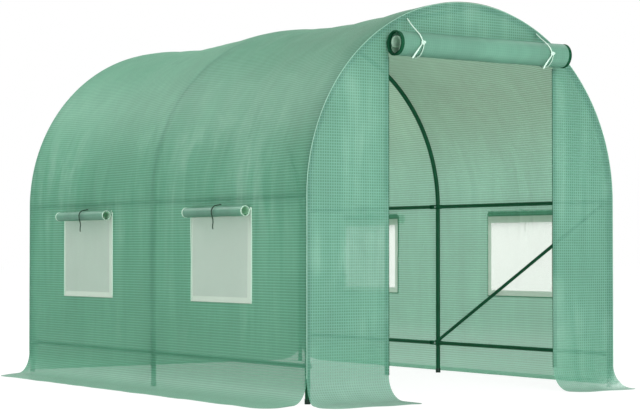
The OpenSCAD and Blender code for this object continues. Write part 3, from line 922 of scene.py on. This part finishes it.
def end_sheet(name, x_range, low, facing, reach, spreads, seed, creases):
    """An end sheet between two places across, from a height low up to the arch, with a
    skirt below it when it has a reach."""
    first, last = (math.acos(-x / half_width) for x in x_range)
    x = -half_width * np.cos(spread([first, last], cell / half_width * 1.2))[:, None]
    top = shoulder + np.sqrt(np.clip(half_width ** 2 - x ** 2, 0, None))
    count = round((float(top.max()) - low) / cell)
    z = low + (top - low) * np.linspace(0, 1, count + 1)[None, :]
    x_wall = np.broadcast_to(x, z.shape)
    swell = end_swell(x_wall, z, seed, creases)
    points = stack(x_wall, facing * (half_length + swell), z)
    u, v = x_wall, z
    hem = np.zeros((len(x) - 1, count), int)
    if reach:
        below = skirt_rows(reach, cell)[1:][None, ::-1]
        out, height, lean_out, lean_up = down_and_out(below)
        start = x_range[0] - end_line(out, reach, spreads[0])
        stop = x_range[1] + end_line(out, reach, spreads[1])
        x_skirt = start + (stop - start) * (x - x_range[0]) / (x_range[1] - x_range[0])
        rise = ground_lift(out, x_skirt, seed + 40)
        skirt = stack(x_skirt, facing * (half_length + out + lean_out * rise),
                      height + lean_up * rise)
        points = np.concatenate([skirt, points], axis=1)
        u = np.concatenate([x_skirt, u], axis=1)
        v = np.concatenate([np.broadcast_to(foot - below, x_skirt.shape), v], axis=1)
        skirt_hem = np.zeros((len(x) - 1, below.shape[1]), int)
        flat_cells = below[0] > bend_length
        skirt_hem[:, 0] = skirt_hem[0, flat_cells] = skirt_hem[-1, flat_cells] = 1
        hem = np.concatenate([skirt_hem, hem], axis=1)
    if facing > 0:
        points, u, v, hem = points[::-1], u[::-1], v[::-1], hem[::-1]
    return lay_grid(name, points, u, v, [cover_cloth, hem_cloth], choose=hem)


def surface_area(piece):
    """The sum of the areas of a piece's faces."""
    return sum(face.area for face in piece.data.polygons)


# %% Front and rear
front_reach = {"left": -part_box("front_left_skirt")[0].y - half_length,
               "right": -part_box("front_right_skirt")[0].y - half_length}
rear_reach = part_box("rear_skirt")[1].y - half_length
left_flare = 0.12  # how far the front left skirt runs past its panel
front_seed = 31  # one for all three, so their swells meet at the doorway's corners
end_pieces = [
    ("front_left_curtain", (-half_width, door_left), foot, -1, front_reach["left"],
     (left_flare, 0.0), front_seed, front_creases,
     ["front_left_panel", "front_left_skirt"]),
    ("front_right_curtain", (door_right, half_width), foot, -1, front_reach["right"],
     (0.0, 0.03), front_seed, front_creases, ["front_right_panel", "front_right_skirt"]),
    ("front_header", (door_left, door_right), door_top, -1, 0, None, front_seed,
     front_creases, ["front_transom"]),
    ("rear_end", (-half_width, half_width), foot, 1, rear_reach, (-0.30, -0.30), 35, [],
     ["rear_panel", "rear_skirt"]),
]
for name, x_range, low, facing, reach, spreads, seed, creases, nodes in end_pieces:
    piece = end_sheet(name, x_range, low, facing, reach, spreads, seed, creases)
    place(piece, "cover_sheet", *nodes)
    wide = x_range[1] - x_range[0]
    if name == "front_left_curtain":
        wide += left_flare

# %% [markdown]
# ## Piping
# Where an end is sewn to the cover the seam stands up as a thin bead, which catches the
# light all round the arch. Its pale colour is partly the tape's own and partly a painted
# highlight.

# %% Piping beads
piping_r = 0.0022


def bead_finish(name, colour):
    """Folded tape: pale, partly in its own colour and partly as a painted highlight, a little
    shiny, with the stitches as small dents along it.
    """
    material, tree = new_finish(name)
    stitch = thread_lines(tree, parts_of(tree, cloth_map(tree))[0], 0.005, 0.0024)
    face = face_shader(tree, colour, 0.35, Normal=bumped(tree, stitch, 0.5, 0.0005))
    back = node(tree, "ShaderNodeBsdfTranslucent", {"Color": opaque(colour)})
    output(tree, mixed_shader(tree, 0.4, face, back.outputs[0]))
    return material


# pale partly as the tape's own colour and partly as a painted highlight
pale_bead = bead_finish("pale_bead", (0.40, 0.68, 0.54))


def piping(name, facing):
    """A tube along the end's edge: centre + r (cos t normal + sin t along)."""
    limit = arch_length + wall_drop
    around = spread([-limit, -arch_length, 0, arch_length, limit], 0.02)[:, None]
    x, z, out_x, out_z = section(around)
    turn = np.linspace(0, 2 * math.pi, 8, endpoint=False)[None, :]
    push = piping_r * np.cos(turn) - 0.0005
    y = facing * (half_length - 0.001 + piping_r * np.sin(turn))
    points = stack(x + out_x * push, y, z + out_z * push)
    wrap = np.linspace(0, 2 * math.pi * piping_r, 9)[None, :]
    if facing > 0:
        points = points[::-1]
    return lay_grid(name, points, around, wrap, [pale_bead], tube=True)


for name, facing in (("front_piping", -1), ("rear_piping", 1)):
    place(piping(name, facing), "cover_sheet")
print("piping %.2f m each" % (2 * (arch_length + wall_drop)))

# %% [markdown]
# ## Zips and hook strips
# A zip is a strip of dark twill with a row of small teeth on its edge. The teeth are
# one small box repeated by an array of places. The strips round the windows are thicker
# than the cloth, so they get a wall with the Solidify modifier.


# %% Tape finishes
def tape_finish(name, colour, rough, grain):
    """Woven or brushed tape: fine seeded grain in colour and bump on its own UV map."""
    material, tree = new_finish(name)
    fine = noise(tree, cloth_map(tree), grain, 2.0)
    lighter = [min(1.0, c * 1.35) for c in colour]
    output(tree, face_shader(tree, mixed_colour(tree, fine, colour, lighter), rough,
                             Normal=bumped(tree, fine, 0.6, 0.0006),
                             **{"Specular IOR Level": 0.15}))
    return material


zip_tape = tape_finish("zip_tape", (0.07, 0.24, 0.15), 0.75, 900)
edge_tape = tape_finish("edge_tape", (0.002, 0.052, 0.021), 0.8, 900)
zip_teeth = tape_finish("zip_teeth", (0.01, 0.06, 0.03), 0.4, 300)
hook_tape = tape_finish("hook_tape", (0.56, 0.74, 0.62), 0.9, 1300)


# %% [markdown]
# ## Rolls
# The door and the window flaps are sheets rolled up from their lower hems. A scroll is
# a radius that shrinks evenly with the turns; the door's 1.76 m makes about five tight
# ones round a hollow. The first few degrees lead back to the seam the sheet hangs from.
# The free edges carry a dark zip tape on the door and a pale hook strip on the flaps, so
# these show as rings at the ends of the rolls. Light that reaches the hollow comes
# through the cloth, and the turns inside stand in for it with a paler finish, as painted
# light.


# %% Scroll
rolled = {"clear_cell": 0.06, "clear_thread": 0.04, "tint": leaf_tint, "blotch": 0.16,
          "relief": 0.0002}
rolled_cloth = cloth_finish("rolled_cloth", (0.195, 0.45, 0.33), (0.22, 0.48, 0.355),
                            **rolled)
# painted light: a paler copy of the rolled cloth for the turns that show in the hollow
painted_lit_inner = cloth_finish("painted_lit_inner", (0.66, 0.98, 0.76), (0.74, 0.98, 0.82), **rolled)
inner_angle = 2.2 * math.pi  # the turn that shows in the hollow
bare_angle = 1.6 * math.pi  # the end of it that has no strip


def scroll(name, across, axis, radius, wall, turns, seam, finishes, edge, seed, facing,
           loose=0.0, steps=56):
    """A rolled sheet. Points at angle t have the radius r - wall t / all; t starts
    towards the tunnel and runs under the roll. across are places along the roll, axis is
    its (out, height), and seam the (out, height) it hangs from. The finishes are those of
    the cloth, of the turns inside, which are painted paler as painted light, and of the
    strips, edge wide, along both ends. The last turn curls inwards by the share loose of
    the radius."""
    t = np.linspace(0, turns * 2 * math.pi, round(turns * steps) + 1)[:, None]
    soft = ripples(across[None, :], t * radius, seed, 8, 0.10, 0.4, 1.0) * 0.0007
    full = radius - wall * t / t[-1] + soft - 0.0008
    full = full - loose * radius * ease(t, t[-1] - inner_angle, t[-1])
    out = axis[0] - full * np.cos(t)
    height = axis[1] - full * np.sin(t)
    lead = 1 - ease(t, 0, 0.5)
    out = out * (1 - lead) + seam[0] * lead
    height = height * (1 - lead) + seam[1] * lead
    points = facing(across[None, :] + 0 * t, out, height)
    mid = (across[1:] + across[:-1])[None, :] / 2 + 0 * t[1:]
    at_edge = (mid < across[0] + edge) | (mid > across[-1] - edge)
    # painted light: the turns inside that show in the hollow take the paler finish
    inside = t[1:] > t[-1] - inner_angle
    bare = ~at_edge | (t[1:] > t[-1] - bare_angle)
    choose = np.where(inside & bare, 1, np.where(at_edge, 2, 0))
    return lay_grid(name, points, radius * t, across[None, :] + 0 * t, finishes,
                    choose=choose)


# %% Door roll
roll_low, roll_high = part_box("door_roll")
roll_r = (roll_high.z - roll_low.z) / 2
roll_axis = (-(roll_low.y + roll_high.y) / 2, (roll_low.z + roll_high.z) / 2)
roll_wall = 0.011
door_turns = 5.15
tape_w = 0.016


def out_of_front(across, out, height):
    """Places across, out from the tunnel's middle and up, as points before the front."""
    return stack(across, -out, height)


seam_line = (half_length, door_top + 0.012)
door_across = spread([roll_low.x, roll_low.x + tape_w, roll_high.x - tape_w, roll_high.x],
                     0.02)
door = scroll("door_sheet_rolled", door_across, roll_axis, roll_r, roll_wall, door_turns,
              seam_line, [rolled_cloth, painted_lit_inner, edge_tape], tape_w, 51, out_of_front,
              loose=0.42)
place(door, "cover_sheet", "door_roll")

# %% A wall for a strip
def thicken(piece, wall):
    """Gives a sheet a real wall, inwards of its face."""
    modifier = piece.modifiers.new("wall", "SOLIDIFY")
    modifier.thickness = wall
    modifier.offset = -1.0
    return piece


# %% Rings at the ends of the door roll
def edge_coil(name, place_along, axis, radius, wide, thick, drop, turns, finish, facing):
    """A bead wound with the roll's edge: a section wide along the roll and thick across
    it whose centre runs on the spiral r - thick / 2 - drop t / all."""
    t = np.linspace(0.4, turns * 2 * math.pi, round(turns * 60))[:, None]
    wind = np.linspace(0, 2 * math.pi, 10, endpoint=False)[None, :]
    shrink = np.sqrt(np.clip(np.minimum(t - t[0], t[-1] - t) * radius / thick, 0.1, 1))
    full = radius - thick / 2 - drop * t / t[-1] + thick / 2 * shrink * np.cos(wind)
    points = facing(place_along + wide / 2 * shrink * np.sin(wind),
                    axis[0] - full * np.cos(t), axis[1] - full * np.sin(t))
    around = np.linspace(0, math.pi * thick, 11)[None, :]
    return lay_grid(name, points[::-1], radius * t, around, [finish], tube=True)


coil_w, coil_t = 0.007, 0.009
for side_name, side in sides.items():
    edge = roll_high.x if side > 0 else roll_low.x
    ring = edge_coil("door_edge_zip_" + side_name, edge, roll_axis, roll_r + 0.0015, coil_w,
                     coil_t, 0.003, 1.6, edge_tape, out_of_front)
    place(ring, "zip")
print("door edge zips: 2")


# %% Zips beside the doorway
def row_of_teeth(name, x, y, heights, size, finish):
    """Small boxes at the given heights, all corners worked out as one array."""
    box = np.array([[a, b, c] for a in (-1, 1) for b in (-1, 1) for c in (-1, 1)]) / 2
    centres = stack(np.full(len(heights), x), np.full(len(heights), y), heights)
    points = (centres[:, None, :] + box[None] * np.array(size)).reshape(-1, 3)
    sides_of_box = np.array([[0, 1, 3, 2], [4, 6, 7, 5], [0, 4, 5, 1], [2, 3, 7, 6],
                             [0, 2, 6, 4], [1, 5, 7, 3]])
    faces = (sides_of_box[None] + 8 * np.arange(len(heights))[:, None, None]).reshape(-1, 4)
    mesh = bpy.data.meshes.new(name)
    mesh.from_pydata(points.tolist(), [], faces.tolist())
    mesh.uv_layers.new(name="cloth")
    mesh.materials.append(finish)
    mesh.update()
    piece = bpy.data.objects.new(name, mesh)
    bpy.context.scene.collection.objects.link(piece)
    return piece


zip_low, zip_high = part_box("door_zips")
zip_width = zip_high.x - door_right
tooth = (0.0035, 0.0022, 0.0017)
zip_past = 0.002  # how far the tape and its teeth reach past the doorway's edge
tooth_heights = np.arange(zip_low.z, zip_high.z, 0.0028)
for side_name, side in sides.items():
    edge = door_right if side > 0 else door_left
    x = np.sort(edge + side * np.linspace(-zip_past, zip_width, 6))[:, None]
    z = spread([zip_low.z, zip_high.z], 0.02)[None, :]
    swell = end_swell(x + 0 * z, z + 0 * x, front_seed, front_creases)
    tape = lay_grid("door_zip_tape_" + side_name,
                    stack(x + 0 * z, -half_length - swell + 0.0012, z + 0 * x),
                    x + 0 * z, z + 0 * x, [zip_tape])
    place(thicken(tape, 0.0006), "zip", *(["door_zips"] if side < 0 else []))
    teeth = row_of_teeth("door_zip_teeth_" + side_name, edge - side * zip_past,
                         -half_length + 0.0005, tooth_heights, tooth, zip_teeth)
    place(teeth, "zip")
print("zip teeth:", 2 * len(tooth_heights))

# %% [markdown]
# ## Windows
# A window is a hole in the wall closed by a fine pale screen with a hem, wider on its
# front edge. Hook strips run round it, and the flap that would cover it is rolled up
# above and held by its tie. The flap's own strips show as pale rims at the roll's ends.

# %% Screens
fine_net = {"tint": (0.98, 1.0, 0.98), "pitch": 0.0016, "width": 0.0007, "blotch": 0.04,
            "relief": 0.0002, "roughness": 0.6}
mesh_cloth = cloth_finish("screen_mesh", (0.76, 0.80, 0.73), (0.85, 0.88, 0.83),
                          0.36, 0.20, glow=0.55, **fine_net)
screen_hem = cloth_finish("screen_hem", (0.62, 0.74, 0.63), (0.68, 0.78, 0.68),
                          0.04, 0.02, glow=0.15, **fine_net)
# the hems' widths at the front, rear, bottom and top
screen_hems = {"left": (0.036, 0.012, 0.024, 0.030), "right": (0.024, 0.030, 0.031, 0.038)}
strip_front, strip_rear, strip_low = 0.010, 0.006, 0.006
strip_wall = 0.0018


def wall_grid(side, along, height, lift):
    """A grid on a side wall whose faces point outwards: points, u and v."""
    a, h = np.meshgrid(along, height, indexing="ij")
    points = on_cover(side * height_down(h), a, lift)
    return (points, a, h) if side > 0 else (points[::-1], a[::-1], h[::-1])


for side_name, side in sides.items():
    hem_front, hem_rear, hem_low, hem_high = screen_hems[side_name]
    for end_name, end in ends.items():
        tag = side_name + "_" + end_name
        low_y = window_middle(side, end) - window_width / 2
        high_y = low_y + window_width
        along = spread([low_y, low_y + hem_front, high_y - hem_rear, high_y], cell)
        height = spread([window_low, window_low + hem_low, window_high - hem_high,
                         window_high], cell)
        mid_a = ((along[1:] + along[:-1]) / 2)[:, None]
        mid_h = ((height[1:] + height[:-1]) / 2)[None, :]
        hem = ((mid_a < low_y + hem_front) | (mid_a > high_y - hem_rear)
               | (mid_h < window_low + hem_low) | (mid_h > window_high - hem_high))
        screen = lay_grid("window_screen_" + tag, *wall_grid(side, along, height, -0.0005),
                          [mesh_cloth, screen_hem],
                          choose=(hem if side > 0 else hem[::-1]).astype(int))
        place(screen, "window_screen", *([side_name + "_window_screens"] if end < 0 else []))
        top = flap_z + flap_r * 0.6
        strips = [("front", [low_y - strip_front, low_y], [window_low - strip_low, top]),
                  ("rear", [high_y, high_y + strip_rear], [window_low - strip_low, top]),
                  ("low", [low_y, high_y], [window_low - strip_low, window_low])]
        for edge, length, upright in strips:
            grid = wall_grid(side, spread(length, cell), spread(upright, cell),
                             strip_wall + 0.0004)
            finish = screen_hem if edge == "low" else hook_tape
            strip = lay_grid("hook_strip_%s_%s" % (tag, edge), *grid, [finish])
            place(thicken(strip, strip_wall), "window_screen")
print("screens: 4, hook strips: 12")

# %% Window flaps
flap_half = (flap_high.y - flap_low.y) / 2 - window_y
flap_wall = 0.010
flap_turns = 3.4
flap_axis = (flap_x, flap_z)
flap_seam = (half_width - 0.004, flap_z + 0.03)
flap_edge = 0.005  # the hook strip along the flap's edge


def out_of_wall(side):
    """Places along, out from the tunnel's middle and up, as points beside that wall."""
    return lambda along, out, height: stack(side * out, side * along, height)


for side_name, side in sides.items():
    for end_name, end in ends.items():
        tag = side_name + "_" + end_name
        middle = side * window_middle(side, end)
        across = spread([middle - flap_half, middle - flap_half + flap_edge,
                         middle + flap_half - flap_edge, middle + flap_half], 0.02)
        flap = scroll("window_flap_" + tag, across, flap_axis, flap_r, flap_wall, flap_turns,
                      flap_seam, [rolled_cloth, painted_lit_inner, hook_tape], flap_edge, 60,
                      out_of_wall(side), steps=40)
        place(flap, "cover_sheet", *([side_name + "_window_flaps"] if end < 0 else []))
        for edge in (-1, 1):
            rim = edge_coil("flap_rim_%s_%s" % (tag, "a" if edge < 0 else "b"),
                            middle + edge * flap_half, flap_axis, flap_r, 0.004, 0.003,
                            0.003, 1.2, hook_tape, out_of_wall(side))
            place(rim, "cover_sheet")
print("flaps: 4, each %.2f m long when let down" % (surface_area(flap) / 2 / flap_half))

# %% [markdown]
# ## The steel frame
# The tubes keep the frame's own meshes. Their finish is dark green powder coat: a satin
# face with the faint orange-peel of baked powder, a little paler where it has been
# rubbed. Bolts are zinc plated, the foot caps are moulded plastic, and the ridge plugs
# take the powder coat.


# %% Frame finishes
def coated_steel():
    """Dark green powder coat, paler and rougher where it's rubbed."""
    material, tree = new_finish("coated_steel")
    place_on = object_place(tree)
    rub = noise(tree, place_on, 9.0, 4.0)
    colour = mixed_colour(tree, ramp(tree, rub, 0.35, 0.75), (0.002, 0.082, 0.033),
                          (0.004, 0.108, 0.048))
    peel = bumped(tree, noise(tree, place_on, 420.0, 1.0), 0.25, 0.0003)
    output(tree, face_shader(tree, colour, ramp(tree, rub, at_low=0.32, at_high=0.5),
                             Normal=peel, **{"Specular IOR Level": 0.22}))
    return material


def zinc_plate():
    """Bright grey metal with a fine uneven sheen."""
    material, tree = new_finish("zinc_plate")
    grain = noise(tree, object_place(tree), 300.0, 3.0)
    output(tree, face_shader(tree, (0.62, 0.64, 0.65),
                             ramp(tree, grain, at_low=0.25, at_high=0.5), Metallic=1.0))
    return material


def moulded_plastic():
    """Dull dark plastic with a fine grain."""
    material, tree = new_finish("moulded_plastic")
    grain = noise(tree, object_place(tree), 700.0, 2.0)
    colour = mixed_colour(tree, grain, (0.010, 0.03, 0.022), (0.018, 0.045, 0.034))
    output(tree, face_shader(tree, colour, 0.55, Normal=bumped(tree, grain, 0.3, 0.0002)))
    return material


# %% Finish the frame
steel, zinc, plastic = coated_steel(), zinc_plate(), moulded_plastic()
own_finish = {"bolts": zinc, "foot_caps": plastic, "ridge_plugs": steel}
painted = 0
for name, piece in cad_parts.items():
    if piece.hide_render:
        continue
    piece.data.materials.clear()
    piece.data.materials.append(own_finish.get(name, steel))
    painted += 1
print("frame nodes finished:", painted)
